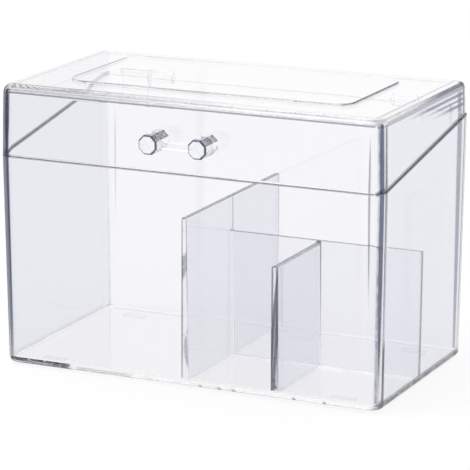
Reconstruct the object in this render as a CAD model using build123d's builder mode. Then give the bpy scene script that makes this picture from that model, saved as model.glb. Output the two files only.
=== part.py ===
from build123d import *
import os
from math import cos, radians, sin, tan

# Clear flip lid box for cotton pads, with fixed dividers.
# Millimetres. Origin on the standing plane, under the middle of the tub.
# +X to the right, +Y to the back, +Z up.

# Overall sizes of the closed box, heights from the underside of the tub
BOX_WIDTH = 180.0
BOX_DEPTH = 100.8
RIM_FRONT_HEIGHT = 93.4
RIM_RISE = 17.1
LID_RISE = 14.5

# Walls and the lean of their faces in degrees
TUB_WALL = 2.0
TUB_FLOOR = 2.4
LID_WALL = 2.0
LID_TOP = 2.6
TUB_DRAFT = 0.63
LID_DRAFT = 1.2

# Edge roundings
CORNER_RADIUS = 6.0
TUB_EDGE_RADIUS = 2.5
FLOOR_RADIUS = 1.5
LID_EDGE_RADIUS = 4.0
LID_INNER_EDGE_RADIUS = 2.0
LID_REAR_RADIUS = 9.0

# Seam between tub and lid, which steps down across the rear wall
SEAM_GAP = 0.3
REAR_SEAM_DROP = 0.9
REAR_SEAM_GAP = 0.4
REAR_STEP_INSET = 0.15

# Foot pads under the tub
FOOT_LENGTH = 11.0
FOOT_WIDTH = 5.0
FOOT_HEIGHT = 0.8
FOOT_RADIUS = 1.0
FOOT_INSET_X = 21.0
FOOT_INSET_Y = 11.4

# Low raised panel on the lid, which sits between the foot pads of a box stacked on it
PANEL_INSET_X = 23.5
PANEL_INSET_Y = 18.4
PANEL_HEIGHT = 0.8
PANEL_RADIUS = 9.0
PANEL_EDGE_RADIUS = 0.4

# Dividers, heights from the underside of the tub
MAIN_DIVIDER_X = -1.1
MAIN_DIVIDER_HEIGHT = 74.5
MAIN_DIVIDER_TOP = 2.2
MAIN_DIVIDER_FOOT = 3.7
CROSS_DIVIDER_Y = -1.5
CROSS_DIVIDER_HEIGHT = 58.8
CROSS_DIVIDER_TOP = 2.0
CROSS_DIVIDER_FOOT = 3.0
FRONT_DIVIDER_X = 41.0
FRONT_DIVIDER_HEIGHT = 58.0
FRONT_DIVIDER_TOP = 2.9
FRONT_DIVIDER_FOOT = 3.8
FRONT_DIVIDER_EDGE_RADIUS = 1.2
DIVIDER_EDGE_RADIUS = 0.6
BOND_GAP = 0.1

# Hinge near each rear corner
HINGE_INSET = 0.6
BARREL_RADIUS = 2.6
BARREL_GAP = 0.3
KNUCKLE_LENGTH = 13.7
KNUCKLE_INSET = 10.0
LUG_LENGTH = 12.0
GUSSET_HEIGHT = 10.0
FAIRING_HEIGHT = 4.5
PIN_RADIUS = 1.0
PIN_END_INSET = 0.6
PIN_FIT = 0.02
PIN_CLEARANCE = 0.06

# Pull handle on the lid front: two octagonal posts joined by a bar, its middle this far above the front rim
HANDLE_RISE = 14.4
HANDLE_SPACING = 22.85
HANDLE_REACH = 12.5
POST_WIDTH = 8.5
POST_SIDES = 8
POST_EDGE = 0.6
BAR_HEIGHT = 3.0
BAR_DEPTH = 3.0
BAR_SETBACK = 1.2

# Levels and derived sizes
BASE_Z = FOOT_HEIGHT
FLOOR_Z = BASE_Z + TUB_FLOOR
RIM_FRONT_Z = BASE_Z + RIM_FRONT_HEIGHT
LID_TOP_Z = RIM_FRONT_Z + RIM_RISE + LID_RISE
LID_UNDER_Z = LID_TOP_Z - LID_TOP
HANDLE_Z = RIM_FRONT_Z + HANDLE_RISE
HALF_DEPTH = BOX_DEPTH / 2
SIDES = (-1, 1)


def rim_height(y):
    """Height of the seam between tub and lid at depth y."""
    return RIM_FRONT_Z + (y + HALF_DEPTH) * RIM_RISE / BOX_DEPTH


def back_face(z, draft, inset):
    """Depth of the back wall of tub or lid at height z, inset from its outer face."""
    return HALF_DEPTH + (z - RIM_FRONT_Z) * tan(radians(draft)) - inset


HINGE_Y = HALF_DEPTH - HINGE_INSET
HINGE_Z = rim_height(HINGE_Y)
KNUCKLE_END = BOX_WIDTH / 2 - KNUCKLE_INSET
KNUCKLE_START = KNUCKLE_END - KNUCKLE_LENGTH
LUG_END = KNUCKLE_START - BARREL_GAP
LUG_START = LUG_END - LUG_LENGTH
LID_STEP_Y = back_face(HINGE_Z, -LID_DRAFT, max(TUB_WALL, LID_WALL)) - REAR_STEP_INSET
TUB_STEP_Y = LID_STEP_Y - REAR_SEAM_GAP


def tapered_block(low, high, draft, inset, radius):
    """Rounded block between two levels; its sides lean out by draft and pass inset inside the box outline."""
    with BuildPart() as block:
        for z in (low, high):
            spread = 2 * ((z - RIM_FRONT_Z) * tan(radians(draft)) - inset)
            with BuildSketch(Plane.XY.offset(z)):
                RectangleRounded(BOX_WIDTH + spread, BOX_DEPTH + spread, radius)
        loft()
    return block.part


def tub_space(shrink):
    """Space inside the tub, drawn in by shrink all round."""
    with BuildPart() as space:
        add(tapered_block(
            FLOOR_Z + shrink, LID_TOP_Z + TUB_WALL, TUB_DRAFT, TUB_WALL + shrink, CORNER_RADIUS - TUB_WALL - shrink,
        ))
        fillet(space.faces().sort_by(Axis.Z)[0].edges(), FLOOR_RADIUS - shrink)
    return space.part


def seam_cutter(gap, rear_drop, rear_y, far_z):
    """All between the seam and the level far_z; the seam is moved by gap and steps down behind rear_y."""
    reach = BOX_DEPTH
    with BuildPart() as cutter:
        with BuildSketch(Plane.YZ):
            with BuildLine():
                Polyline(
                    (-reach, far_z),
                    (-reach, rim_height(-reach) + gap),
                    (rear_y, rim_height(rear_y) + gap),
                    (rear_y, HINGE_Z - rear_drop),
                    (reach, HINGE_Z - rear_drop),
                    (reach, far_z),
                    close=True,
                )
            make_face()
        extrude(amount=BOX_WIDTH, both=True)
    return cutter.part


def rear_edge_cutter(radius, top_z, back_y):
    """What a rounding of this radius takes off the rear top edge of a block."""
    with BuildPart() as cutter:
        with BuildSketch(Plane.YZ):
            with Locations((back_y, top_z)):
                Rectangle(2 * radius, 2 * radius)
            with Locations((back_y - radius, top_z - radius)):
                Circle(radius, mode=Mode.SUBTRACT)
        extrude(amount=BOX_WIDTH, both=True)
    return cutter.part


def barrel(side, start, end, radius):
    """Round bar about the hinge axis on one side of the box, between two distances from its middle."""
    with BuildPart() as bar:
        with BuildSketch(Plane.YZ.offset(side * start)):
            with Locations((HINGE_Y, HINGE_Z)):
                Circle(radius)
        extrude(amount=side * (end - start))
    return bar.part


def web(side, start, end, draft, wall, height):
    """Web as wide as the hinge barrel at the axis, narrowing to the wall that carries it at height from the axis."""
    with BuildPart() as block:
        with BuildSketch(Plane.YZ.offset(side * start)):
            with BuildLine():
                Polyline(
                    (HINGE_Y - BARREL_RADIUS, HINGE_Z),
                    (HINGE_Y + BARREL_RADIUS, HINGE_Z),
                    (back_face(HINGE_Z + height, draft, 0), HINGE_Z + height),
                    (back_face(HINGE_Z + height, draft, wall), HINGE_Z + height),
                    close=True,
                )
            make_face()
        extrude(amount=side * (end - start))
    return block.part


def panel(plane, centre, height, top, foot, both_ways, grow=0):
    """Long upright panel whose thickness tapers from foot to top, centred across the plane; grow thickens it."""
    with BuildPart() as slab:
        with BuildSketch(plane):
            with BuildLine():
                Polyline(
                    (centre - foot / 2 - grow, BASE_Z),
                    (centre + foot / 2 + grow, BASE_Z),
                    (centre + top / 2 + grow, BASE_Z + height + grow),
                    (centre - top / 2 - grow, BASE_Z + height + grow),
                    close=True,
                )
            make_face()
        extrude(amount=BOX_WIDTH, both=both_ways)
    return slab.part


def foot_pad(side_x, side_y):
    """Flat oblong pad under one corner of the tub."""
    with BuildPart() as pad:
        with BuildSketch():
            with Locations((side_x * (BOX_WIDTH / 2 - FOOT_INSET_X), side_y * (HALF_DEPTH - FOOT_INSET_Y))):
                RectangleRounded(FOOT_LENGTH, FOOT_WIDTH, FOOT_RADIUS)
        extrude(amount=FOOT_HEIGHT)
    return pad


def hinge_pin(side):
    """Straight pin through one knuckle and the lug beside it."""
    with BuildPart() as pin:
        add(barrel(side, LUG_START + PIN_END_INSET, KNUCKLE_END - PIN_END_INSET, PIN_RADIUS))
    return pin


# Tub: one drafted shell whose rim climbs to the back, with a hinge knuckle near each rear corner
with BuildPart() as tub:
    add(tapered_block(BASE_Z, LID_TOP_Z, TUB_DRAFT, 0, CORNER_RADIUS))
    fillet(tub.faces().sort_by(Axis.Z)[0].edges(), TUB_EDGE_RADIUS)
    add(tub_space(0), mode=Mode.SUBTRACT)
    add(
        seam_cutter(-SEAM_GAP / 2, REAR_SEAM_DROP + REAR_SEAM_GAP / 2, TUB_STEP_Y, LID_TOP_Z + LID_TOP),
        mode=Mode.SUBTRACT,
    )
    for side in SIDES:
        add(barrel(side, LUG_START - BARREL_GAP, KNUCKLE_START, BARREL_RADIUS + BARREL_GAP), mode=Mode.SUBTRACT)
        add(barrel(side, KNUCKLE_START, KNUCKLE_END, BARREL_RADIUS))
        add(web(side, KNUCKLE_START, KNUCKLE_END, TUB_DRAFT, TUB_WALL, -GUSSET_HEIGHT))
        add(barrel(side, KNUCKLE_START, KNUCKLE_END, PIN_RADIUS + PIN_FIT), mode=Mode.SUBTRACT)

# Space under the lid, rounded like the lid above it
with BuildPart() as lid_space:
    add(tapered_block(BASE_Z, LID_UNDER_Z, -LID_DRAFT, LID_WALL, CORNER_RADIUS - LID_WALL))
    fillet(lid_space.faces().sort_by(Axis.Z)[-1].edges(), LID_INNER_EDGE_RADIUS)
    add(
        rear_edge_cutter(
            LID_REAR_RADIUS - LID_TOP,
            LID_UNDER_Z,
            back_face(LID_TOP_Z - LID_REAR_RADIUS, -LID_DRAFT, LID_WALL),
        ),
        mode=Mode.SUBTRACT,
    )

# Lid: a shallow cap with a raised panel, a large rear rounding, and a hinge lug beside each knuckle
with BuildPart() as lid:
    add(tapered_block(BASE_Z, LID_TOP_Z, -LID_DRAFT, 0, CORNER_RADIUS))
    fillet(lid.faces().sort_by(Axis.Z)[-1].edges(), LID_EDGE_RADIUS)
    add(
        rear_edge_cutter(LID_REAR_RADIUS, LID_TOP_Z, back_face(LID_TOP_Z - LID_REAR_RADIUS, -LID_DRAFT, 0)),
        mode=Mode.SUBTRACT,
    )
    with BuildSketch(Plane.XY.offset(LID_TOP_Z)):
        RectangleRounded(BOX_WIDTH - 2 * PANEL_INSET_X, BOX_DEPTH - 2 * PANEL_INSET_Y, PANEL_RADIUS)
    extrude(amount=PANEL_HEIGHT)
    fillet(lid.faces().sort_by(Axis.Z)[-1].edges(), PANEL_EDGE_RADIUS)
    add(lid_space.part, mode=Mode.SUBTRACT)
    add(
        seam_cutter(SEAM_GAP / 2, REAR_SEAM_DROP - REAR_SEAM_GAP / 2, LID_STEP_Y, -BASE_Z),
        mode=Mode.SUBTRACT,
    )
    for side in SIDES:
        add(barrel(side, LUG_END, KNUCKLE_END + BARREL_GAP, BARREL_RADIUS + BARREL_GAP), mode=Mode.SUBTRACT)
        add(barrel(side, LUG_START, LUG_END, BARREL_RADIUS))
        add(web(side, LUG_START, LUG_END, -LID_DRAFT, LID_WALL, FAIRING_HEIGHT))
        add(barrel(side, LUG_START, LUG_END, PIN_RADIUS + PIN_CLEARANCE), mode=Mode.SUBTRACT)

# Main divider: runs from the front wall to the back wall, left of the middle
MAIN_SIZES = (MAIN_DIVIDER_X, MAIN_DIVIDER_HEIGHT, MAIN_DIVIDER_TOP, MAIN_DIVIDER_FOOT)
with BuildPart() as main_divider:
    add(panel(Plane.XZ, *MAIN_SIZES, both_ways=True))
    add(tub_space(BOND_GAP), mode=Mode.INTERSECT)
    fillet(main_divider.faces().sort_by(Axis.Z)[-1].edges().filter_by(Axis.Y), DIVIDER_EDGE_RADIUS)

# Cross divider: runs from the main divider to the right wall
CROSS_SIZES = (CROSS_DIVIDER_Y, CROSS_DIVIDER_HEIGHT, CROSS_DIVIDER_TOP, CROSS_DIVIDER_FOOT)
with BuildPart() as cross_divider:
    add(panel(Plane.YZ.offset(MAIN_DIVIDER_X), *CROSS_SIZES, both_ways=False))
    add(panel(Plane.XZ, *MAIN_SIZES, both_ways=True, grow=BOND_GAP), mode=Mode.SUBTRACT)
    add(tub_space(BOND_GAP), mode=Mode.INTERSECT)
    fillet(cross_divider.faces().sort_by(Axis.Z)[-1].edges().filter_by(Axis.X), DIVIDER_EDGE_RADIUS)

# Front divider: runs from the front wall back to the cross divider
FRONT_SIZES = (FRONT_DIVIDER_X, FRONT_DIVIDER_HEIGHT, FRONT_DIVIDER_TOP, FRONT_DIVIDER_FOOT)
with BuildPart() as front_divider:
    add(panel(Plane.XZ.offset(-CROSS_DIVIDER_Y), *FRONT_SIZES, both_ways=False))
    add(panel(Plane.YZ, *CROSS_SIZES, both_ways=True, grow=BOND_GAP), mode=Mode.SUBTRACT)
    add(tub_space(BOND_GAP), mode=Mode.INTERSECT)
    fillet(front_divider.faces().sort_by(Axis.Z)[-1].edges().filter_by(Axis.Y), FRONT_DIVIDER_EDGE_RADIUS)

# Handle: square to the leaning front face of the lid and bonded to it
handle_plane = Plane(
    origin=(0, -back_face(HANDLE_Z, -LID_DRAFT, 0), HANDLE_Z),
    x_dir=(1, 0, 0),
    z_dir=(0, -cos(radians(LID_DRAFT)), sin(radians(LID_DRAFT))),
)
with BuildPart() as handle:
    with BuildSketch(handle_plane.offset(BOND_GAP)):
        with GridLocations(HANDLE_SPACING, 0, 2, 1):
            RegularPolygon(POST_WIDTH / 2, POST_SIDES, major_radius=False, rotation=180 / POST_SIDES)
    extrude(amount=HANDLE_REACH - BOND_GAP)
    chamfer(handle.faces().group_by(Axis.Y)[0].edges(), POST_EDGE)
    with BuildSketch(handle_plane.offset(HANDLE_REACH - BAR_SETBACK)):
        Rectangle(HANDLE_SPACING, BAR_HEIGHT)
    extrude(amount=-BAR_DEPTH)

pieces = {
    "tub": tub,
    "lid": lid,
    "main_divider": main_divider,
    "cross_divider": cross_divider,
    "front_divider": front_divider,
    "handle": handle,
    "hinge_pin_left": hinge_pin(-1),
    "hinge_pin_right": hinge_pin(1),
    "foot_pad_front_left": foot_pad(-1, -1),
    "foot_pad_front_right": foot_pad(1, -1),
    "foot_pad_rear_left": foot_pad(-1, 1),
    "foot_pad_rear_right": foot_pad(1, 1),
}

os.makedirs("parts", exist_ok=True)
for name, piece in pieces.items():
    piece.part.label = name
    export_step(piece.part, f"parts/{name}.step")
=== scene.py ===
"""Clear plastic cotton pad box with a flip lid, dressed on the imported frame.

Lengths are in millimetres until a piece is placed; placed pieces, shaders and the studio are in metres.
"""
import logging
import math
from collections.abc import Callable, Sequence
from dataclasses import dataclass
from enum import Enum

import bmesh
import bpy
from mathutils import Matrix, Vector


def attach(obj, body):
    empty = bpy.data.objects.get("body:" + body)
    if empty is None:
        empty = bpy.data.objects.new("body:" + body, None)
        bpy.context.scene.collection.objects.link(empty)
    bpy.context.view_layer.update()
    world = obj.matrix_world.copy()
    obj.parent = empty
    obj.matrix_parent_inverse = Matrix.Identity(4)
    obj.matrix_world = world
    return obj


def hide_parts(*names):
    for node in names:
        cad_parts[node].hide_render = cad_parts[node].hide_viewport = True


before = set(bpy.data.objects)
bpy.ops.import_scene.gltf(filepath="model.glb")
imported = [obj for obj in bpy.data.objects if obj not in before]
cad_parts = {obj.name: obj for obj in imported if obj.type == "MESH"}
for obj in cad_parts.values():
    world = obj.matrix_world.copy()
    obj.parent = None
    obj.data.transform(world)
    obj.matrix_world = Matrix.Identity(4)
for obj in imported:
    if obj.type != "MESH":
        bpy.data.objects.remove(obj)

LOG = logging.getLogger("cotton_pad_box")
MM = 0.001
MERGE_GAP = 0.0005
SHARP_ANGLE = 40.0
LARGEST_WEIGHT = 100

Point2 = tuple[float, float]
Point3 = tuple[float, float, float]
Colour = tuple[float, float, float]
Mesh = bpy.types.Mesh
Item = bpy.types.Object
Material = bpy.types.Material
Tree = bpy.types.NodeTree
Socket = bpy.types.NodeSocket
Sockets = bpy.types.bpy_prop_collection
Node = bpy.types.Node


class Body(Enum):
    """Moving groups of the frame that a piece can ride on."""

    TUB = "tub_body"
    LID = "lid_body"


class Combine(Enum):
    """Ways in which one closed mesh acts on another."""

    CUT = "DIFFERENCE"
    JOIN = "UNION"
    KEEP = "INTERSECT"


class Side(Enum):
    """Sides of the seam; the tub is below it and the lid above."""

    BELOW = -1
    ABOVE = 1


class Along(Enum):
    """Axis that a line runs along, after the two axes that give its place."""

    WIDTH = ("Y", "Z", "X")
    DEPTH = ("X", "Z", "Y")
    HEIGHT = ("X", "Y", "Z")


@dataclass(frozen=True)
class Ring:
    """Level outline of a rounded rectangle."""

    z: float
    half_x: float
    half_y: float
    corner: float

    def points(self, steps: int) -> list[Vector]:
        """Points along the outline, seen from above turning left.

        Args:
            steps: edges along each rounded corner.

        Returns:
            The points in order.
        """
        made = []
        for turn, (side_x, side_y) in enumerate(((1, 1), (-1, 1), (-1, -1), (1, -1))):
            centre_x = side_x * (self.half_x - self.corner)
            centre_y = side_y * (self.half_y - self.corner)
            for step in range(steps + 1):
                angle = math.pi / 2 * (turn + step / steps)
                x, y = centre_x + self.corner * math.cos(angle), centre_y + self.corner * math.sin(angle)
                made.append(Vector((x, y, self.z)))
        return made


@dataclass(frozen=True)
class BoxShape:
    """Sizes that tub, lid and dividers share; a lean is in degrees, outwards going up."""

    width: float = 180.0
    depth: float = 100.8
    base_z: float = 0.8
    rim_front_z: float = 94.2
    rim_rise: float = 17.1
    lid_rise: float = 14.5
    tub_lean: float = 0.63
    lid_lean: float = -1.2
    wall: float = 2.0
    floor: float = 2.4
    lid_top: float = 2.6
    corner: float = 6.0
    corner_steps: int = 18
    floor_round: float = 1.5
    floor_steps: int = 8
    seam_gap: float = 0.3
    step_inset: float = 0.15
    step_drop: float = 0.9
    step_gap: float = 0.4
    hinge_inset: float = 0.6
    rim_edge: float = 0.25
    rim_reach: float = 3.0
    crisp_step: Point2 = (47.0, 48.0)

    @property
    def top_z(self) -> float:
        """Level of the lid's top face."""
        return self.rim_front_z + self.rim_rise + self.lid_rise

    @property
    def hinge(self) -> Point2:
        """Depth and height of the hinge axis."""
        y = self.depth / 2 - self.hinge_inset
        return y, self.rim_height(y)

    def rim_height(self, y: float) -> float:
        """Height of the seam between tub and lid at depth y."""
        return self.rim_front_z + (y + self.depth / 2) * self.rim_rise / self.depth

    def spread(self, z: float, lean: float) -> float:
        """How far a wall of that lean stands outside the seam's front outline at height z."""
        return (z - self.rim_front_z) * math.tan(math.radians(lean))

    def back_face(self, z: float, lean: float, inset: float) -> float:
        """Depth of the back wall at height z, inset from its outer face."""
        return self.depth / 2 + self.spread(z, lean) - inset

    def on_rim(self, middle: Vector) -> bool:
        """Tells whether an edge with this middle is one of the rim's edges that get rounded."""
        near, far = self.crisp_step
        return abs(middle.z - self.rim_height(middle.y)) < self.rim_reach and not near < middle.y < far

    def outline(self, z: float, lean: float, inset: float) -> list[Vector]:
        """Points round a leaning wall at height z, inset from its outer face."""
        grow = self.spread(z, lean) - inset
        return Ring(
            z, self.width / 2 + grow, self.depth / 2 + grow, self.corner - inset,
        ).points(self.corner_steps)


def rounding(radius: float, steps: int) -> list[Point2]:
    """Quarter round from a level face to an upright one, as pairs of inset and distance from the level."""
    angles = [math.pi / 2 * step / steps for step in range(steps + 1)]
    return [(radius * (1 - math.sin(angle)), radius * (1 - math.cos(angle))) for angle in angles]


def round_start(start: float, radius: float, steps: int) -> list[Point2]:
    """Pairs of level and inset that lead up from an end with a round edge."""
    return [(start + rise, inset) for inset, rise in rounding(radius, steps)]


def round_end(end: float, radius: float, steps: int) -> list[Point2]:
    """Pairs of level and inset that lead up to an end with a round edge."""
    return [(end - rise, inset) for inset, rise in reversed(rounding(radius, steps))]


def finished(work: bmesh.types.BMesh) -> Mesh:
    """Turns a work mesh into a smooth mesh whose faces point outwards.

    Args:
        work: closed work mesh, freed here.

    Returns:
        The mesh.
    """
    bmesh.ops.recalc_face_normals(work, faces=work.faces)
    mesh = bpy.data.meshes.new("work")
    work.to_mesh(mesh)
    work.free()
    mesh.shade_smooth()
    return mesh


def stacked(rings: Sequence[Sequence[Vector]]) -> Mesh:
    """Closed block through rings that each have the same number of points.

    Args:
        rings: outlines from one end to the other.

    Returns:
        The block.
    """
    work = bmesh.new()
    rows = [[work.verts.new(point) for point in ring] for ring in rings]
    count = len(rows[0])
    for low, high in zip(rows, rows[1:]):
        for index in range(count):
            after = (index + 1) % count
            work.faces.new((low[index], low[after], high[after], high[index]))
    work.faces.new(list(reversed(rows[0])))
    work.faces.new(rows[-1])
    return finished(work)


def prism(profile: Sequence[Point2], start: float, end: float) -> Mesh:
    """Bar along X between start and end, whose profile is given as depth and height."""
    return stacked([[Vector((x, y, z)) for y, z in profile] for x in (start, end)])


def oblong(levels: Sequence[Point2], ring: Ring, steps: int) -> Mesh:
    """Closed block that has the outline of a ring, drawn in by the inset at each level."""
    rings = [Ring(z, ring.half_x - inset, ring.half_y - inset, ring.corner - inset) for z, inset in levels]
    return stacked([drawn.points(steps) for drawn in rings])


def circle(centre: Point2, radius: float, steps: int) -> list[Point2]:
    """Points on a circle, starting half a step after the first axis."""
    angles = [2 * math.pi * (step + 0.5) / steps for step in range(steps)]
    return [(centre[0] + radius * math.cos(angle), centre[1] + radius * math.sin(angle)) for angle in angles]


def evaluated(obj: Item) -> Mesh:
    """Plain mesh of an object with its modifiers applied."""
    graph = bpy.context.evaluated_depsgraph_get()
    return bpy.data.meshes.new_from_object(obj.evaluated_get(graph))


def shown(name: str, data: bpy.types.ID) -> Item:
    """Puts a mesh, a lamp or a camera in the scene.

    Args:
        name: name of its object.
        data: the mesh, lamp or camera.

    Returns:
        The object.
    """
    made = bpy.data.objects.new(name, data)
    bpy.context.scene.collection.objects.link(made)
    return made


def combined(base: Mesh, tool: Mesh, way: Combine) -> Mesh:
    """Lets one closed mesh act on another.

    Args:
        base: the mesh that is worked on.
        tool: the mesh that acts on it.
        way: how it acts.

    Returns:
        The result as a new mesh.
    """
    worked, acting = shown("worked", base), shown("acting", tool)
    modifier = worked.modifiers.new("combine", "BOOLEAN")
    modifier.operation = way.value
    modifier.solver = "MANIFOLD"
    modifier.object = acting
    made = evaluated(worked)
    for obj in (worked, acting):
        bpy.data.objects.remove(obj)
    return made


def eased(
    mesh: Mesh, width: float, steps: int = 2, sharp: float = 35.0,
    chosen: Callable[[Vector], bool] | None = None,
) -> Mesh:
    """Rounds the sharp edges of a mesh.

    Args:
        mesh: closed mesh.
        width: distance from the edge to where its rounding starts.
        steps: faces across a rounding.
        sharp: angle in degrees from which an edge counts as sharp.
        chosen: test of an edge's middle; all sharp edges are taken without it.

    Returns:
        The rounded mesh.
    """
    work = bmesh.new()
    work.from_mesh(mesh)
    bmesh.ops.remove_doubles(work, verts=work.verts, dist=MERGE_GAP)
    bmesh.ops.dissolve_degenerate(work, edges=work.edges, dist=MERGE_GAP)
    limit = math.radians(sharp)
    edges = [
        edge for edge in work.edges
        if len(edge.link_faces) == 2 and edge.calc_face_angle() > limit
        and (chosen is None or chosen((edge.verts[0].co + edge.verts[1].co) / 2))
    ]
    bmesh.ops.bevel(
        work, geom=edges, offset=width, offset_type="OFFSET", segments=steps, profile=0.5,
        affect="EDGES", clamp_overlap=False, miter_outer="SHARP", loop_slide=False,
    )
    return finished(work)


def triangulated(mesh: Mesh) -> Mesh:
    """Splits the faces of more than four corners, so that their shading stays even.

    Args:
        mesh: closed mesh.

    Returns:
        The new mesh.
    """
    work = bmesh.new()
    work.from_mesh(mesh)
    many = [face for face in work.faces if len(face.verts) > 4]
    bmesh.ops.triangulate(work, faces=many, quad_method="BEAUTY", ngon_method="BEAUTY")
    return finished(work)


class NodeMaker:
    """Adds linked nodes to a tree."""

    def __init__(self, tree: Tree) -> None:
        """Takes the tree that the nodes go in."""
        self.tree = tree

    def sockets(self, way: str, kind: str, *names: str) -> None:
        """Gives the tree named inputs or outputs of one kind."""
        for name in names:
            self.tree.interface.new_socket(name, in_out=way, socket_type=f"NodeSocket{kind}")

    def link(self, node: Node, feeds: dict[str | int, Socket]) -> None:
        """Links sockets to the inputs of a node, which are picked by name or place."""
        for key, socket in feeds.items():
            self.tree.links.new(socket, node.inputs[key])

    def add(self, kind: str, **inputs: object) -> Node:
        """Adds a node and sets or links its inputs.

        Args:
            kind: Blender's name of the node type.
            **inputs: value of an input, or the socket that feeds it; its name has _ for a space, and in0, in1
                and so on pick an input by place.

        Returns:
            The node.
        """
        node = self.tree.nodes.new(kind)
        for name, value in inputs.items():
            key = int(name[2:]) if name[:2] == "in" and name[2:].isdigit() else name.replace("_", " ")
            if isinstance(value, Socket):
                self.link(node, {key: value})
            else:
                node.inputs[key].default_value = value
        return node

    def maths(self, operation: str, *values: object) -> Socket:
        """Result of a Math node.

        Args:
            operation: what the node works out.
            *values: numbers, or the sockets that feed it.

        Returns:
            Its output.
        """
        node = self.add("ShaderNodeMath", **{f"in{place}": value for place, value in enumerate(values)})
        node.operation = operation
        return node.outputs[0]

    def times(self, first: object, second: object) -> Socket:
        """Product of two numbers or sockets."""
        return self.maths("MULTIPLY", first, second)

    def minus(self, first: object, second: object) -> Socket:
        """Difference of two numbers or sockets."""
        return self.maths("SUBTRACT", first, second)

    def size(self, value: Socket) -> Socket:
        """A value without its sign."""
        return self.maths("ABSOLUTE", value)

    def most(self, values: Sequence[Socket]) -> Socket:
        """Largest of some values.

        Args:
            values: the sockets with the values.

        Returns:
            The socket with the largest.
        """
        top = values[0]
        for value in values[1:]:
            top = self.maths("MAXIMUM", top, value)
        return top

    def split(self, vector: Socket) -> Sockets:
        """The three parts of a vector."""
        return self.add("ShaderNodeSeparateXYZ", Vector=vector).outputs

    def ramp(self, value: Socket, start: float, end: float) -> Socket:
        """Smooth step of a value.

        Args:
            value: socket with the value.
            start: value that gives 0.
            end: value that gives 1.

        Returns:
            The socket with the step.
        """
        node = self.add("ShaderNodeMapRange", Value=value, From_Min=start, From_Max=end)
        node.interpolation_type = "SMOOTHSTEP"
        return node.outputs["Result"]

    def mixed(self, share: Socket, first: Socket, second: Socket) -> Socket:
        """Blend of two colours.

        Args:
            share: how much of the second one is taken.
            first: the first colour.
            second: the second colour.

        Returns:
            The socket with the blend.
        """
        node = self.tree.nodes.new("ShaderNodeMix")
        node.data_type = "RGBA"
        self.link(node, {0: share, 6: first, 7: second})
        return node.outputs[2]


class CopyTree(NodeMaker):
    """Geometry Nodes tree that sets copies of a mesh on points and makes them one mesh."""

    def __init__(self, name: str) -> None:
        """Makes the tree with its named inputs, on a row or a grid of points.

        Args:
            name: name of the tree.
        """
        super().__init__(bpy.data.node_groups.new(name, "GeometryNodeTree"))
        self.sockets("INPUT", "Geometry", "Geometry")
        self.sockets("INPUT", "Int", "Columns", "Rows")
        self.sockets("INPUT", "Float", "Column Spacing", "Row Spacing")
        self.sockets("INPUT", "Material", "Material")
        self.sockets("OUTPUT", "Geometry", "Geometry")
        given = self.tree.nodes.new("NodeGroupInput").outputs
        columns = self.line(given["Columns"], given["Column Spacing"], "X")
        rows = self.line(given["Rows"], given["Row Spacing"], "Y")
        kind = "GeometryNodeInstanceOnPoints"
        row = self.add(kind, Points=rows, Instance=given["Geometry"]).outputs["Instances"]
        grid = self.add(kind, Points=columns, Instance=row).outputs["Instances"]
        real = self.add("GeometryNodeRealizeInstances", Geometry=grid).outputs["Geometry"]
        dressed = self.add("GeometryNodeSetMaterial", Geometry=real, Material=given["Material"])
        self.add("NodeGroupOutput", Geometry=dressed.outputs["Geometry"])

    def line(self, count: Socket, spacing: Socket, axis: str) -> Socket:
        """Points in a centred line.

        Args:
            count: socket with the number of points.
            spacing: socket with the distance between them.
            axis: axis that the line follows.

        Returns:
            The socket with the line.
        """
        start = self.times(self.times(self.minus(count, 1.0), spacing), -0.5)
        first, step = (self.add("ShaderNodeCombineXYZ", **{axis: part}).outputs[0] for part in (start, spacing))
        return self.add("GeometryNodeMeshLine", Count=count, Start_Location=first, Offset=step).outputs["Mesh"]

    def copies(
        self, mesh: Mesh, columns: int, rows: int, column_spacing: float, row_spacing: float = 0.0,
        material: Material | None = None,
    ) -> Mesh:
        """Copies of a mesh, centred on where it stands.

        Args:
            mesh: what is copied.
            columns: copies along X.
            rows: copies along Y.
            column_spacing: distance between columns.
            row_spacing: distance between rows.
            material: finish of the copies.

        Returns:
            One plain mesh.
        """
        work = shown("copied", mesh)
        modifier = work.modifiers.new("copies", "NODES")
        modifier.node_group = self.tree
        values = {
            "Columns": columns, "Rows": rows, "Column Spacing": column_spacing, "Row Spacing": row_spacing,
            "Material": material,
        }
        for item in self.tree.interface.items_tree:
            if item.in_out == "INPUT" and item.name in values:
                modifier[item.identifier] = values[item.name]
        made = evaluated(work)
        bpy.data.objects.remove(work)
        return made


@dataclass(frozen=True)
class ShadeStroke:
    """Straight dark line of painted shade on the plastic.

    The first two numbers give its place across its axis. Along its axis it fades from full to gone.
    """

    along: Along
    first: float
    second: float
    reach: float
    weight: float = 1.0
    full: float = 0.0
    gone: float = 0.0


def shade_strokes(along: Along, *rows: Sequence[float]) -> tuple[ShadeStroke, ...]:
    """Lines of painted shade along one axis, each from a row of the other values of a stroke."""
    return tuple(ShadeStroke(along, *row) for row in rows)
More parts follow.
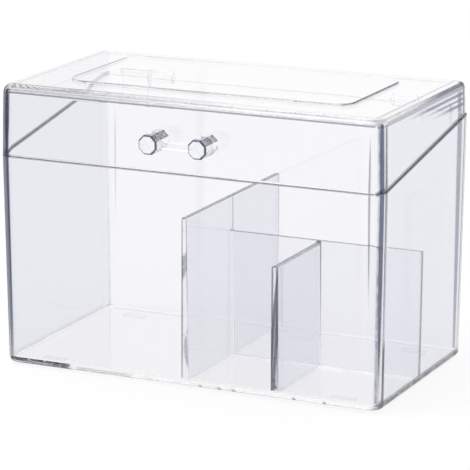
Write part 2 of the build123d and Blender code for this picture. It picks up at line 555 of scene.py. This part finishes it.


# Lines of painted shade on tub and lid, first the upright ones
CORNER_SHADE_STROKES = (
    *shade_strokes(
        Along.HEIGHT,
        (88.6, -47.9, 1.4), (84.0, -50.4, 0.6, 0.8), (-86.0, -50.0, 1.9), (-88.1, -48.9, 2.1),
        (89.4, 46.9, 1.8), (84.3, 50.3, 1.6), (-84.0, 50.3, 0.5, 0.5, 85.0, 100.0),
        (88.6, 48.2, 2.6, 1.0, 116.0, 106.0),
    ),
    *shade_strokes(
        Along.WIDTH,
        (-47.6, 122.0, 0.4, 0.9), (-46.4, 125.8, 0.6, 0.75, -60.0, 60.0), (-48.9, 124.4, 1.5, 0.5, -60.0, 40.0),
        (-50.4, 94.2, 0.6, 0.7), (41.0, 125.8, 0.5, 0.35), (-32.0, 126.5, 0.5, 0.5),
        (31.5, 126.6, 0.9, 0.9, -66.0, 20.0),
    ),
    *shade_strokes(
        Along.DEPTH,
        (87.2, 122.0, 0.7, 0.8), (-87.2, 122.0, 0.7, 0.6), (86.0, 125.8, 0.6, 0.6),
        (88.8, 124.4, 1.2, 1.0, 20.0, -30.0), (87.5, 120.0, 0.9, 1.0, 5.0, -25.0),
        (87.5, 117.6, 0.6, 1.0, 20.0, -8.0), (87.6, 115.3, 0.9, 1.0, 32.0, 2.0),
        (66.5, 126.5, 0.6, 0.8), (-65.9, 126.6, 1.0, 1.0),
    ),
)

# Small dark marks of painted shade on the front bottom edge, each with its place along it
MARK_SHADE_STROKES = shade_strokes(Along.HEIGHT, *((x, -49.0, 1.0, 0.9, 2.0, 3.2) for x in (6.7, 15.5, 22.3, 50.3, 64.4)))

# Lines of painted shade at the ends of the dividers, then along their tops
END_SHADE_STROKES = (
    *shade_strokes(
        Along.HEIGHT,
        (-2.6, -48.1, 1.1), (0.3, -48.1, 0.6, 0.8), (39.7, -47.9, 0.9), (42.2, -47.9, 0.8, 0.9),
        (0.2, 48.0, 1.0, 0.9), (0.4, -1.5, 0.8, 0.8), (87.4, -1.5, 1.3), (42.1, -2.8, 0.9, 0.95),
    ),
    *shade_strokes(Along.DEPTH, (-1.1, 75.3, 1.0, 0.95), (41.0, 58.8, 1.0, 0.95)),
    *shade_strokes(Along.WIDTH, (-1.5, 59.6, 1.0, 0.95)),
)


class SurfaceAndShadeGroup(NodeMaker):
    """Shader group of moulded clear plastic, whose colour holds painted shade in a dark colour along edges,
    corners, divider ends, foot and seam, painted side shade and a painted reflection on level faces.
    """

    COLOURS = ("Tint", "Side Tint", "Level Tint", "Deep Tint")
    NUMBERS = (
        "Edge Shade", "Front Shade", "Corner Shade", "End Shade", "Foot Shade", "Seam Shade",
        "Haze", "Cloud Scale", "Speck Scale", "Mottle Scale",
    )
    EDGE_FACING = (0.84, 0.74)
    EDGE_REAR = (0.0475, 0.0455)
    STROKE_CORE = 0.6
    FOOT_RISE = (1.8, 1.2)
    FOOT_WALLS = 1.5
    SEAM_WIDTH = (4.0, 2.0)
    SEAM_WALLS = 2.0
    SIDE_POWER = 2.0
    SPECK_POWER = 6.0
    MOTTLE = (0.35, 0.6)
    MOTTLE_SHARE = 0.5
    NOISE_ROUGHNESS = 0.4

    def __init__(self, shape: BoxShape, corners: Sequence[ShadeStroke], ends: Sequence[ShadeStroke]) -> None:
        """Builds the group once; every clear finish uses it.

        Args:
            shape: sizes of the box, which say where its foot and its seam are.
            corners: lines of painted shade on tub and lid.
            ends: lines of painted shade on the dividers.
        """
        super().__init__(bpy.data.node_groups.new("moulded_surface_and_painted_shade", "ShaderNodeTree"))
        self.sockets("INPUT", "Color", *self.COLOURS)
        self.sockets("INPUT", "Float", *self.NUMBERS)
        self.sockets("OUTPUT", "Color", "Color")
        self.sockets("OUTPUT", "Float", "Roughness", "Height")
        self.shape, self.corners, self.ends = shape, corners, ends
        self.given = self.tree.nodes.new("NodeGroupInput").outputs
        coords = self.tree.nodes.new("ShaderNodeTexCoord").outputs
        self.place = coords["Object"]
        self.parts = self.split(coords["Object"])
        self.turned = self.split(coords["Normal"])
        specks = self.maths("POWER", self.noise("Speck Scale", 1.0), self.SPECK_POWER)
        # Painted shade colour mixed over the tints, which carry painted side shade and a painted reflection on
        # level faces
        colour = self.mixed(self.shade_share(), self.plain(), self.given["Deep Tint"])
        haze = self.times(specks, self.given["Haze"])
        self.add("NodeGroupOutput", Color=colour, Roughness=haze, Height=self.noise("Cloud Scale", 2.0))

    def noise(self, scale: str, detail: float) -> Socket:
        """Soft noise; the input named scale gives its patches in a metre, and detail adds finer ones."""
        return self.add(
            "ShaderNodeTexNoise", Vector=self.place, Scale=self.given[scale], Detail=detail,
            Roughness=self.NOISE_ROUGHNESS,
        ).outputs[0]

    def plain(self) -> Socket:
        """Colour of flat faces, by the way that they face: painted shade on faces turned to the sides and a
        painted reflection on level faces.

        Returns:
            The socket with the colour.
        """
        side, level = (self.maths("POWER", self.size(self.turned[axis]), self.SIDE_POWER) for axis in "XZ")
        upright = self.mixed(side, self.given["Tint"], self.given["Side Tint"])
        return self.mixed(level, upright, self.given["Level Tint"])

    def shade_share(self) -> Socket:
        """Share of the painted shade colour.

        Returns:
            The socket with the largest share that any cause gives.
        """
        # Noise makes the painted shade uneven
        mottle = self.ramp(self.noise("Mottle Scale", 2.0), *self.MOTTLE)
        uneven = self.maths("MULTIPLY_ADD", mottle, self.MOTTLE_SHARE, 1 - self.MOTTLE_SHARE)
        # Painted edge shade is stronger on faces turned to the front or back
        ahead = self.times(self.size(self.turned["Y"]), self.given["Front Shade"])
        causes = {
            "Edge Shade": self.times(self.edge(), self.maths("ADD", uneven, ahead)),
            "Corner Shade": self.lines(self.corners),
            "End Shade": self.lines(self.ends),
            "Foot Shade": self.times(self.foot(), uneven),
            "Seam Shade": self.seam(),
        }
        return self.most([self.times(mask, self.given[name]) for name, mask in causes.items()])

    def edge(self) -> Socket:
        """Mask of painted shade on the middles of rounded edges, where the surface faces between two sides,
        without the rear.
        """
        facing = self.most([self.size(self.turned[axis]) for axis in "XYZ"])
        return self.times(self.ramp(facing, *self.EDGE_FACING), self.ramp(self.parts["Y"], *self.EDGE_REAR))

    def lines(self, shade_strokes: Sequence[ShadeStroke]) -> Socket:
        """Mask of lines of painted shade.

        Args:
            shade_strokes: the lines.

        Returns:
            The socket with the mask.
        """
        masks = []
        for stroke in shade_strokes:
            *across, run = stroke.along.value
            places = (stroke.first * MM, stroke.second * MM)
            offs = [self.minus(self.parts[axis], place) for axis, place in zip(across, places)]
            far = self.maths("SQRT", self.maths("ADD", *(self.times(off, off) for off in offs)))
            mask = self.ramp(far, stroke.reach * MM, stroke.reach * self.STROKE_CORE * MM)
            mask = self.times(mask, stroke.weight)
            if stroke.full != stroke.gone:
                mask = self.times(mask, self.ramp(self.parts[run], stroke.gone * MM, stroke.full * MM))
            masks.append(mask)
        return self.most(masks)

    def foot(self) -> Socket:
        """Mask of painted shade along the foot of the right side, where the floor is seen along its length.

        Returns:
            The socket with the mask.
        """
        shape = self.shape
        low = (shape.base_z + shape.floor) * MM
        near = (shape.width / 2 - shape.wall * self.FOOT_WALLS) * MM
        beside = self.ramp(self.parts["X"], near, near + shape.wall / 2 * MM)
        return self.times(self.ramp(self.parts["Z"], *(low * part for part in self.FOOT_RISE)), beside)

    def seam(self) -> Socket:
        """Mask of painted shade along the sloping seam on the two sides.

        Returns:
            The socket with the mask.
        """
        shape = self.shape
        above = self.minus(self.parts["Z"], self.times(self.parts["Y"], shape.rim_rise / shape.depth))
        off = self.size(self.minus(above, (shape.rim_front_z + shape.rim_rise / 2) * MM))
        near = (shape.width / 2 - shape.wall * self.SEAM_WALLS) * MM
        beside = self.ramp(self.size(self.parts["X"]), near, near + shape.wall / 2 * MM)
        return self.times(self.ramp(off, *(shape.seam_gap * part * MM for part in self.SEAM_WIDTH)), beside)


@dataclass(frozen=True)
class ClearFinish:
    """Finish of one kind of clear plastic with its painted shade and painted reflection; a field named after an
    input of the shader group sets it.
    """

    name: str
    tint: Colour
    # Painted shade on faces turned to the sides
    side_tint: Colour
    # Painted reflection that keeps level faces light
    level_tint: Colour = (0.99, 0.99, 0.995)
    # Colour of the painted shade along edges, corners, ends, foot and seam
    deep_tint: Colour = (0.03, 0.035, 0.07)
    ior: float = 1.5
    wave: float = 0.02
    haze: float = 0.03
    # Strengths of painted shade along edges, front faces, corners, divider ends, foot and seam
    edge_shade: float = 0.0
    front_shade: float = 0.0
    corner_shade: float = 0.0
    end_shade: float = 0.0
    foot_shade: float = 0.0
    seam_shade: float = 0.0
    cloud_scale: float = 22.0
    speck_scale: float = 480.0
    mottle_scale: float = 260.0

    def build(self, surface: SurfaceAndShadeGroup) -> Material:
        """Makes the material.

        Args:
            surface: the shared shader group.

        Returns:
            The material.
        """
        material = bpy.data.materials.new(self.name)
        material.use_nodes = True
        nodes = NodeMaker(material.node_tree)
        shader = nodes.tree.nodes["Principled BSDF"]
        for name, number in (("Metallic", 0.0), ("Transmission Weight", 1.0), ("IOR", self.ior)):
            shader.inputs[name].default_value = number
        group = nodes.tree.nodes.new("ShaderNodeGroup")
        group.node_tree = surface.tree
        for name in (*surface.COLOURS, *surface.NUMBERS):
            value = getattr(self, name.lower().replace(" ", "_"))
            group.inputs[name].default_value = (*value, 1.0) if name in surface.COLOURS else value
        made = group.outputs
        bump = nodes.add("ShaderNodeBump", Strength=1.0, Distance=self.wave * MM, Height=made["Height"])
        nodes.link(shader, {
            "Base Color": made["Color"], "Roughness": made["Roughness"], "Normal": bump.outputs["Normal"],
        })
        return material


# Side and level tints, shade colours and shade strengths below are painted shade and painted reflection
PLASTIC = ClearFinish(
    "clear_plastic", tint=(0.957, 0.956, 0.972), side_tint=(0.815, 0.824, 0.872),
    edge_shade=0.6, corner_shade=1.0, foot_shade=0.95, seam_shade=0.9,
)
PANEL = ClearFinish(
    "clear_panel", tint=(0.925, 0.93, 0.955), side_tint=(0.825, 0.833, 0.872), edge_shade=0.9, end_shade=0.95,
)
PULL = ClearFinish(
    "clear_pull", tint=(0.975, 0.98, 0.995), side_tint=(0.92, 0.93, 0.95), deep_tint=(0.01, 0.012, 0.03),
    wave=0.01, edge_shade=0.85, front_shade=0.9, mottle_scale=420.0,
)
PAD = ClearFinish(
    "clear_pad", tint=(0.88, 0.885, 0.915), side_tint=(0.88, 0.885, 0.91), level_tint=(0.88, 0.885, 0.915),
    ior=1.45, wave=0.03, haze=0.02, speck_scale=900.0,
)


@dataclass(frozen=True)
class Piece:
    """How a finished mesh joins the frame."""

    name: str
    body: Body
    nodes: tuple[str, ...]
    slot: str = "clear_plastic"

    def place(self, mesh: Mesh, material: Material) -> None:
        """Turns a mesh in millimetres into a dressed piece on its body.

        Args:
            mesh: closed mesh in millimetres, in the frame.
            material: its finish.
        """
        mesh = triangulated(mesh)
        mesh.transform(Matrix.Scale(MM, 4))
        mesh.materials.clear()
        mesh.materials.append(material)
        mesh.polygons.foreach_set("material_index", [0] * len(mesh.polygons))
        mesh.shade_smooth()
        mesh.set_sharp_from_angle(angle=math.radians(SHARP_ANGLE))
        obj = shown(self.name, mesh)
        weighted = obj.modifiers.new("weighted", "WEIGHTED_NORMAL")
        weighted.keep_sharp = True
        weighted.weight = LARGEST_WEIGHT
        obj.data = evaluated(obj)
        obj.data.name = self.name
        obj.modifiers.clear()
        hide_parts(*self.nodes)
        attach(obj, self.body.value)
        LOG.info("%s: %d faces for %s", self.name, len(obj.data.polygons), ", ".join(self.nodes))


@dataclass(frozen=True)
class Workshop:
    """What every maker of a sub-assembly works with."""

    shape: BoxShape
    copier: CopyTree
    plastic: Material
    panel: Material
    pull: Material
    pad: Material

    def tub_space(self, shrink: float) -> Mesh:
        """Space inside the tub.

        Args:
            shrink: how far it is drawn in all round.

        Returns:
            The closed block.
        """
        shape = self.shape
        low = shape.base_z + shape.floor + shrink
        levels = round_start(low, shape.floor_round - shrink, shape.floor_steps)
        levels.append((shape.top_z + shape.wall, 0.0))
        return stacked([shape.outline(z, shape.tub_lean, shape.wall + shrink + inset) for z, inset in levels])

    def rimmed(self, shell: Mesh, side: Side) -> Mesh:
        """Cuts a shell off along the seam, with a step at the rear, and rounds its rim.

        Args:
            shell: closed shell that reaches across the seam.
            side: side of the seam that is kept.

        Returns:
            The shell with its rim.
        """
        shape, reach = self.shape, self.shape.depth
        gap = side.value * shape.seam_gap / 2
        step_z = shape.hinge[1] - (shape.step_drop - side.value * shape.step_gap / 2)
        rear_y = shape.back_face(shape.hinge[1], shape.lid_lean, shape.wall) - shape.step_inset
        far_z = -shape.base_z
        if side is Side.BELOW:
            rear_y -= shape.step_gap
            far_z = shape.top_z + shape.wall
        profile = (
            (-reach, far_z), (-reach, shape.rim_height(-reach) + gap), (rear_y, shape.rim_height(rear_y) + gap),
            (rear_y, step_z), (reach, step_z), (reach, far_z),
        )
        cut = combined(shell, prism(profile, -shape.width, shape.width), Combine.CUT)
        return eased(cut, shape.rim_edge, chosen=shape.on_rim)


@dataclass(frozen=True)
class HingeRow:
    """One of the two rows of hinge barrels: both knuckles, or both lugs."""

    start: float
    end: float
    bore: float
    lean: float
    web_height: float
    radius: float = 2.59
    clearance: float = 0.3
    overcut: float = 0.05
    bore_run: float = 1.0
    edge: float = 0.25
    edge_steps: int = 3
    sunk: float = 0.3
    steps: int = 48

    @property
    def spacing(self) -> float:
        """Distance between the two barrels' middles."""
        return self.start + self.end

    def barrel(self, shape: BoxShape, radius: float, extra: float) -> Mesh:
        """Round bar at the box's middle, as long as this row's barrels and extra at each end."""
        half = (self.end - self.start) / 2 + extra
        return prism(circle(shape.hinge, radius, self.steps), -half, half)

    def outline(self, shape: BoxShape) -> list[Point2]:
        """Outline of barrel and web together, as depth and height.

        Args:
            shape: sizes of the box.

        Returns:
            The half of the barrel away from the web, then the two corners of the web inside the wall.
        """
        half_turn = self.steps // 2
        first = -1 if self.web_height < 0 else half_turn - 1
        turn = circle(shape.hinge, self.radius, self.steps)
        level = shape.hinge[1] + self.web_height
        insets = [shape.wall - self.sunk, self.sunk]
        if self.web_height > 0:
            insets.reverse()
        arc = [turn[step % self.steps] for step in range(first, first + half_turn + 2)]
        return arc + [(shape.back_face(level, self.lean, inset), level) for inset in insets]

    def solid(self, shape: BoxShape) -> Mesh:
        """Barrel and web at the box's middle, with round edges at both ends.

        Args:
            shape: sizes of the box.

        Returns:
            The closed block.
        """
        y, z = shape.hinge
        half = (self.end - self.start) / 2
        levels = round_start(-half, self.edge, self.edge_steps) + round_end(half, self.edge, self.edge_steps)
        outline = self.outline(shape)
        rings = []
        for x, inset in levels:
            share = 1 - inset / self.radius
            rings.append([Vector((x, y + (at - y) * share, z + (up - z) * share)) for at, up in outline])
        return stacked(rings)

    def fit(self, mesh: Mesh, work: Workshop, other: "HingeRow") -> Mesh:
        """Gives a rim its barrels, their bores and room for the other part's barrels.

        Args:
            mesh: the tub or lid.
            work: the workshop.
            other: the row of barrels that this part makes room for.

        Returns:
            The mesh with its hinge.
        """
        shape = work.shape
        room = other.barrel(shape, other.radius + self.clearance, self.clearance + self.overcut)
        steps = (
            (room, other, Combine.CUT), (self.solid(shape), self, Combine.JOIN),
            (self.barrel(shape, self.bore, self.bore_run), self, Combine.CUT),
        )
        for block, row, way in steps:
            mesh = combined(mesh, work.copier.copies(block, 2, 1, row.spacing), way)
        return mesh


@dataclass(frozen=True)
class Tub:
    """Drafted shell whose rim climbs to the back."""

    work: Workshop
    knuckles: HingeRow
    lugs: HingeRow
    edge_round: float = 2.5
    edge_steps: int = 10

    def build(self) -> None:
        """Makes the shell with its knuckles, dresses it and places it."""
        shape = self.work.shape
        levels = round_start(shape.base_z, self.edge_round, self.edge_steps) + [(shape.top_z, 0.0)]
        block = stacked([shape.outline(z, shape.tub_lean, inset) for z, inset in levels])
        shell = combined(block, self.work.tub_space(0.0), Combine.CUT)
        tub = self.knuckles.fit(self.work.rimmed(shell, Side.BELOW), self.work, self.lugs)
        Piece("tub_shell", Body.TUB, ("tub",)).place(tub, self.work.plastic)


@dataclass(frozen=True)
class Lid:
    """Shallow cap with a raised panel and a large round along the rear top edge."""

    work: Workshop
    knuckles: HingeRow
    lugs: HingeRow
    skirt: float = 9.0
    edge_round: float = 4.0
    edge_steps: int = 12
    inner_round: float = 2.0
    rear_round: float = 9.0
    rear_steps: int = 20
    panel_inset: Point2 = (23.5, 18.4)
    panel_height: float = 0.8
    panel_corner: float = 9.0
    panel_edge: float = 0.4
    panel_steps: int = 6

    def cap(self, top: float, inset: float, edge_round: float, rear_round: float) -> Mesh:
        """Block under a level top whose upper edges are round, more so at the rear.

        Args:
            top: level of its top.
            inset: distance inside the lid's outer faces.
            edge_round: radius along front and sides.
            rear_round: radius along the rear.

        Returns:
            The closed block.
        """
        shape = self.work.shape
        levels = [(shape.rim_front_z - self.skirt, 0.0)] + round_end(top, edge_round, self.edge_steps)
        block = stacked([shape.outline(z, shape.lid_lean, inset + drawn) for z, drawn in levels])
        rear_y = shape.back_face(shape.top_z - self.rear_round, shape.lid_lean, inset)
        arc = [(rear_y - drawn, top - rise) for drawn, rise in rounding(rear_round, self.rear_steps)]
        outside = [
            (rear_y + rear_round, top - rear_round), (rear_y + rear_round, top + rear_round),
            (rear_y - rear_round, top + rear_round),
        ]
        return combined(block, prism(arc + outside, -shape.width, shape.width), Combine.CUT)

    def panel(self) -> Mesh:
        """Low raised panel with a fine round along its edge.

        Returns:
            The closed block.
        """
        shape = self.work.shape
        foot = shape.top_z - shape.lid_top / 2
        levels = [(foot, 0.0)] + round_end(shape.top_z + self.panel_height, self.panel_edge, self.panel_steps)
        half_x, half_y = shape.width / 2 - self.panel_inset[0], shape.depth / 2 - self.panel_inset[1]
        return oblong(levels, Ring(foot, half_x, half_y, self.panel_corner), shape.corner_steps)

    def build(self) -> None:
        """Makes the cap with its panel and lugs, dresses it and places it."""
        shape = self.work.shape
        outer = self.cap(shape.top_z, 0.0, self.edge_round, self.rear_round)
        inner_rear = self.rear_round - shape.lid_top
        space = self.cap(shape.top_z - shape.lid_top, shape.wall, self.inner_round, inner_rear)
        shell = combined(combined(outer, self.panel(), Combine.JOIN), space, Combine.CUT)
        lid = self.lugs.fit(self.work.rimmed(shell, Side.ABOVE), self.work, self.knuckles)
        Piece("lid_cap", Body.LID, ("lid",)).place(lid, self.work.plastic)


@dataclass(frozen=True)
class Slab:
    """Upright panel that tapers from foot to top, with round upper edges."""

    centre: float
    height: float
    top: float
    foot: float
    edge: float
    edge_steps: int = 8

    def profile(self, base: float, grow: float = 0.0) -> list[Point2]:
        """Profile across the panel.

        Args:
            base: level of its foot.
            grow: extra thickness on each face.

        Returns:
            Pairs of distance across and height.
        """
        half, foot = self.top / 2 + grow, self.foot / 2 + grow
        levels = round_end(base + self.height + grow, self.edge, self.edge_steps)
        right = [(self.centre + half - inset, z) for z, inset in levels]
        left = [(2 * self.centre - across, z) for across, z in reversed(right)]
        return [(self.centre - foot, base), (self.centre + foot, base)] + right + left


@dataclass(frozen=True)
class Dividers:
    """Three fixed panels that make four compartments."""

    work: Workshop
    bond: float = 0.1
    edge: float = 0.12
    sharp: float = 50.0
    main: Slab = Slab(centre=-1.1, height=74.5, top=2.2, foot=3.7, edge=0.6)
    cross: Slab = Slab(centre=-1.5, height=58.8, top=2.0, foot=3.0, edge=0.6)
    front: Slab = Slab(centre=41.0, height=58.0, top=2.9, foot=3.8, edge=1.2)

    def along_y(self, slab: Slab, start: float, end: float, grow: float = 0.0) -> Mesh:
        """Panel drawn from front to back."""
        profile = slab.profile(self.work.shape.base_z, grow)
        return stacked([[Vector((x, y, z)) for x, z in profile] for y in (start, end)])

    def along_x(self, slab: Slab, start: float, end: float, grow: float = 0.0) -> Mesh:
        """Panel drawn from left to right."""
        return prism(slab.profile(self.work.shape.base_z, grow), start, end)

    def fitted(self, panel: Mesh) -> Mesh:
        """Trims a panel to the inside of the tub and eases its ends."""
        trimmed = combined(panel, self.work.tub_space(self.bond), Combine.KEEP)
        return eased(trimmed, self.edge, sharp=self.sharp)

    def build(self) -> None:
        """Makes, dresses and places the three dividers."""
        reach = self.work.shape.width
        main = self.along_y(self.main, -reach, reach)
        cross = self.along_x(self.cross, self.main.centre, reach)
        cross = combined(cross, self.along_y(self.main, -reach, reach, self.bond), Combine.CUT)
        front = self.along_y(self.front, -reach, self.cross.centre)
        front = combined(front, self.along_x(self.cross, -reach, reach, self.bond), Combine.CUT)
        for name, panel in (("main_divider", main), ("cross_divider", cross), ("front_divider", front)):
            Piece(f"{name}_panel", Body.TUB, (name,)).place(self.fitted(panel), self.work.panel)


@dataclass(frozen=True)
class Handle:
    """Two octagonal posts joined by a bar, square to the lid's leaning front."""

    work: Workshop
    rise: float = 14.4
    spacing: float = 22.85
    reach: float = 12.5
    width: float = 8.5
    sides: int = 8
    chamfer: float = 0.8
    bar: float = 3.0
    bar_setback: float = 1.2
    bond: float = 0.1
    edge: float = 0.12
    sharp: float = 20.0

    def post(self) -> Mesh:
        """One post at the origin, standing along Z, with a chamfer round its outer end.

        Returns:
            The closed post.
        """
        rings = []
        for z, inset in ((self.bond, 0.0), (self.reach - self.chamfer, 0.0), (self.reach, self.chamfer)):
            radius = (self.width / 2 - inset) / math.cos(math.pi / self.sides)
            rings.append([Vector((x, y, z)) for x, y in circle((0.0, 0.0), radius, self.sides)])
        return stacked(rings)

    def build(self) -> None:
        """Makes the posts and the bar, turns them to the lid, dresses them and places them."""
        shape = self.work.shape
        posts = self.work.copier.copies(self.post(), 2, 1, self.spacing)
        far = self.reach - self.bar_setback
        half = self.bar / 2
        profile = ((-half, far - self.bar), (half, far - self.bar), (half, far), (-half, far))
        bar = prism(profile, -self.spacing / 2, self.spacing / 2)
        joined = eased(combined(posts, bar, Combine.JOIN), self.edge, sharp=self.sharp)
        level = shape.rim_front_z + self.rise
        turn = Matrix.Rotation(math.pi / 2 - math.radians(shape.lid_lean), 4, "X")
        joined.transform(Matrix.Translation((0, -shape.back_face(level, shape.lid_lean, 0.0), level)) @ turn)
        Piece("pull_handle", Body.LID, ("handle",)).place(joined, self.work.pull)


@dataclass(frozen=True)
class HingePins:
    """Straight pin at each rear corner."""

    work: Workshop
    radius: float = 1.0
    start: float = 54.6
    end: float = 79.4
    edge: float = 0.2
    steps: int = 32

    def build(self) -> None:
        """Makes, dresses and places both pins."""
        half = (self.end - self.start) / 2
        pin = eased(prism(circle(self.work.shape.hinge, self.radius, self.steps), -half, half), self.edge)
        pair = self.work.copier.copies(pin, 2, 1, self.start + self.end, material=self.work.plastic)
        Piece("hinge_pins", Body.TUB, ("hinge_pin_left", "hinge_pin_right")).place(pair, self.work.plastic)


@dataclass(frozen=True)
class FootPads:
    """Four thin oblong pads under the tub."""

    work: Workshop
    half_x: float = 5.5
    half_y: float = 2.5
    height: float = 0.78
    corner: float = 1.0
    corner_steps: int = 8
    edge: float = 0.2
    edge_steps: int = 4
    spacing: Point2 = (138.0, 78.0)

    def build(self) -> None:
        """Makes, dresses and places the pads."""
        levels = round_start(0.0, self.edge, self.edge_steps)
        levels += round_end(self.height, self.edge, self.edge_steps)
        pad = oblong(levels, Ring(0.0, self.half_x, self.half_y, self.corner), self.corner_steps)
        four = self.work.copier.copies(pad, 2, 2, *self.spacing, self.work.pad)
        nodes = tuple(f"foot_pad_{end}_{side}" for end in ("front", "rear") for side in ("left", "right"))
        Piece("foot_pads", Body.TUB, nodes, "clear_pad").place(four, self.work.pad)


def bare_material(name: str) -> Material:
    """Material that has an output and no shader yet.

    Args:
        name: its name.

    Returns:
        The material.
    """
    material = bpy.data.materials.new(name)
    material.use_nodes = True
    material.node_tree.nodes.remove(material.node_tree.nodes["Principled BSDF"])
    return material


def quad(name: str, corners: Sequence[Sequence[float]], material: Material) -> Item:
    """Flat staging surface of four corners.

    Args:
        name: its name.
        corners: the corners in order.
        material: its finish.

    Returns:
        The surface.
    """
    mesh = bpy.data.meshes.new(name)
    mesh.from_pydata(corners, [], [(0, 1, 2, 3)])
    mesh.materials.append(material)
    made = shown(name, mesh)
    return made


@dataclass(frozen=True)
class Card:
    """Standing card that only reflections and what is seen through the plastic show."""

    azimuth: float
    distance: float = 0.6
    width: float = 0.2
    height: float = 0.6
    colour: Colour = (0.07, 0.075, 0.11)

    def build(self, index: int) -> None:
        """Stands the card up, facing the box.

        Args:
            index: number in its name.
        """
        angle = math.radians(self.azimuth)
        out = Vector((math.sin(angle), -math.cos(angle), 0.0))
        along = Vector((out.y, -out.x, 0.0)) * self.width / 2
        foot, rise = out * self.distance, Vector((0, 0, self.height))
        name = f"card_{index}"
        material = bare_material(name)
        nodes = NodeMaker(material.node_tree)
        glow = nodes.add("ShaderNodeEmission", Color=(*self.colour, 1.0), Strength=1.0)
        nodes.link(nodes.tree.nodes["Material Output"], {"Surface": glow.outputs[0]})
        card = quad(name, [foot - along, foot + along, foot + along + rise, foot - along + rise], material)
        card.visible_camera = False
        card.visible_diffuse = False
        card.visible_shadow = False


@dataclass(frozen=True)
class Studio:
    """Plain white set, soft light and the camera."""

    floor_half: float = 6.0
    floor_drop: float = 0.0002
    floor_colour: Colour = (0.93, 0.93, 0.93)
    backdrop_share: float = 0.86
    backdrop_level: float = 1.03
    sky_level: float = 0.8
    lamp_power: float = 9.0
    lamp_size: float = 1.2
    lamp_place: Point3 = (-0.7, -0.5, 1.7)
    camera_place: Point3 = (0.51411, -1.10477, 0.36113)
    camera_yaw: float = 0.4355
    camera_pitch: float = 0.2447
    camera_roll: float = 0.0016
    camera_lens: float = 219.05
    camera_sensor: float = 36.0
    card_azimuths: tuple[float, ...] = (67.5, 112.5, 247.5, 292.5)
    bounces: int = 64

    def seen(self, nodes: NodeMaker) -> Socket:
        """Value of 1 for camera rays, reflections and what shows through plastic, else 0."""
        path = nodes.tree.nodes.new("ShaderNodeLightPath").outputs
        return nodes.most([path[f"Is {kind} Ray"] for kind in ("Camera", "Glossy", "Transmission")])

    def floor(self) -> None:
        """Lays the floor: white where it is seen, and plain matt for the light that falls on it."""
        material = bare_material("floor")
        nodes = NodeMaker(material.node_tree)
        matt = nodes.add("ShaderNodeBsdfDiffuse", Color=(*self.floor_colour, 1.0))
        white = nodes.add("ShaderNodeEmission", Color=(1.0, 1.0, 1.0, 1.0), Strength=self.backdrop_level)
        share = nodes.times(self.seen(nodes), self.backdrop_share)
        both = nodes.add("ShaderNodeMixShader", in0=share, in1=matt.outputs[0], in2=white.outputs[0])
        nodes.link(nodes.tree.nodes["Material Output"], {"Surface": both.outputs[0]})
        half = self.floor_half
        ends = ((-half, -half), (half, -half), (half, half), (-half, half))
        quad("floor", [(x, y, -self.floor_drop) for x, y in ends], material)

    def sky(self) -> None:
        """Surrounds the set with white that lights it a little less than it shows."""
        world = bpy.data.worlds.new("studio")
        world.use_nodes = True
        nodes = NodeMaker(world.node_tree)
        level = nodes.maths("MULTIPLY_ADD", self.seen(nodes), 1.0 - self.sky_level, self.sky_level)
        background = nodes.tree.nodes["Background"]
        background.inputs["Color"].default_value = (1.0, 1.0, 1.0, 1.0)
        nodes.link(background, {"Strength": level})
        bpy.context.scene.world = world

    def lamp(self) -> None:
        """Hangs one large soft lamp to the upper left."""
        light = bpy.data.lights.new("soft_lamp", "AREA")
        light.shape = "SQUARE"
        light.size = self.lamp_size
        light.energy = self.lamp_power
        lamp = shown("soft_lamp", light)
        lamp.location = self.lamp_place
        lamp.rotation_mode = "QUATERNION"
        lamp.rotation_quaternion = (-Vector(self.lamp_place)).to_track_quat("-Z", "Y")

    def camera(self) -> None:
        """Puts the camera at the photograph's angle."""
        yaw, pitch, roll = self.camera_yaw, self.camera_pitch, self.camera_roll
        ahead = Vector((-math.sin(yaw) * math.cos(pitch), math.cos(yaw) * math.cos(pitch), -math.sin(pitch)))
        right = Vector((math.cos(yaw), math.sin(yaw), 0.0))
        up = right.cross(ahead)
        turned_right = right * math.cos(roll) + up * math.sin(roll)
        turned_up = up * math.cos(roll) - right * math.sin(roll)
        data = bpy.data.cameras.new("camera")
        data.lens = self.camera_lens
        data.sensor_width = self.camera_sensor
        camera = shown("camera", data)
        turn = Matrix((turned_right, turned_up, -ahead)).transposed().to_4x4()
        camera.matrix_world = Matrix.Translation(self.camera_place) @ turn
        bpy.context.scene.camera = camera

    def build(self) -> None:
        """Makes the whole set."""
        scene = bpy.context.scene
        scene.view_settings.view_transform = "Standard"
        for kind in ("max_bounces", "transmission_bounces", "glossy_bounces"):
            setattr(scene.cycles, kind, self.bounces)
        self.camera()
        self.floor()
        self.sky()
        self.lamp()
        for index, azimuth in enumerate(self.card_azimuths):
            Card(azimuth).build(index)
        LOG.info("studio: %d cards", len(self.card_azimuths))


def main() -> None:
    """Builds every sub-assembly in order."""
    logging.basicConfig(level=logging.INFO, format="%(name)s %(message)s")
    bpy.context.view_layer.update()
    shape = BoxShape()
    surface = SurfaceAndShadeGroup(shape, CORNER_SHADE_STROKES + MARK_SHADE_STROKES, END_SHADE_STROKES)
    finishes = [finish.build(surface) for finish in (PLASTIC, PANEL, PULL, PAD)]
    work = Workshop(shape, CopyTree("copies_on_points"), *finishes)
    knuckles = HingeRow(start=66.3, end=80.0, bore=1.02, lean=shape.tub_lean, web_height=-10.0)
    lugs = HingeRow(start=54.0, end=66.0, bore=1.06, lean=shape.lid_lean, web_height=4.5)
    Tub(work, knuckles, lugs).build()
    Dividers(work).build()
    Lid(work, knuckles, lugs).build()
    Handle(work).build()
    HingePins(work).build()
    FootPads(work).build()
    Studio().build()
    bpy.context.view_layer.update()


if __name__ == "__main__":
    main()
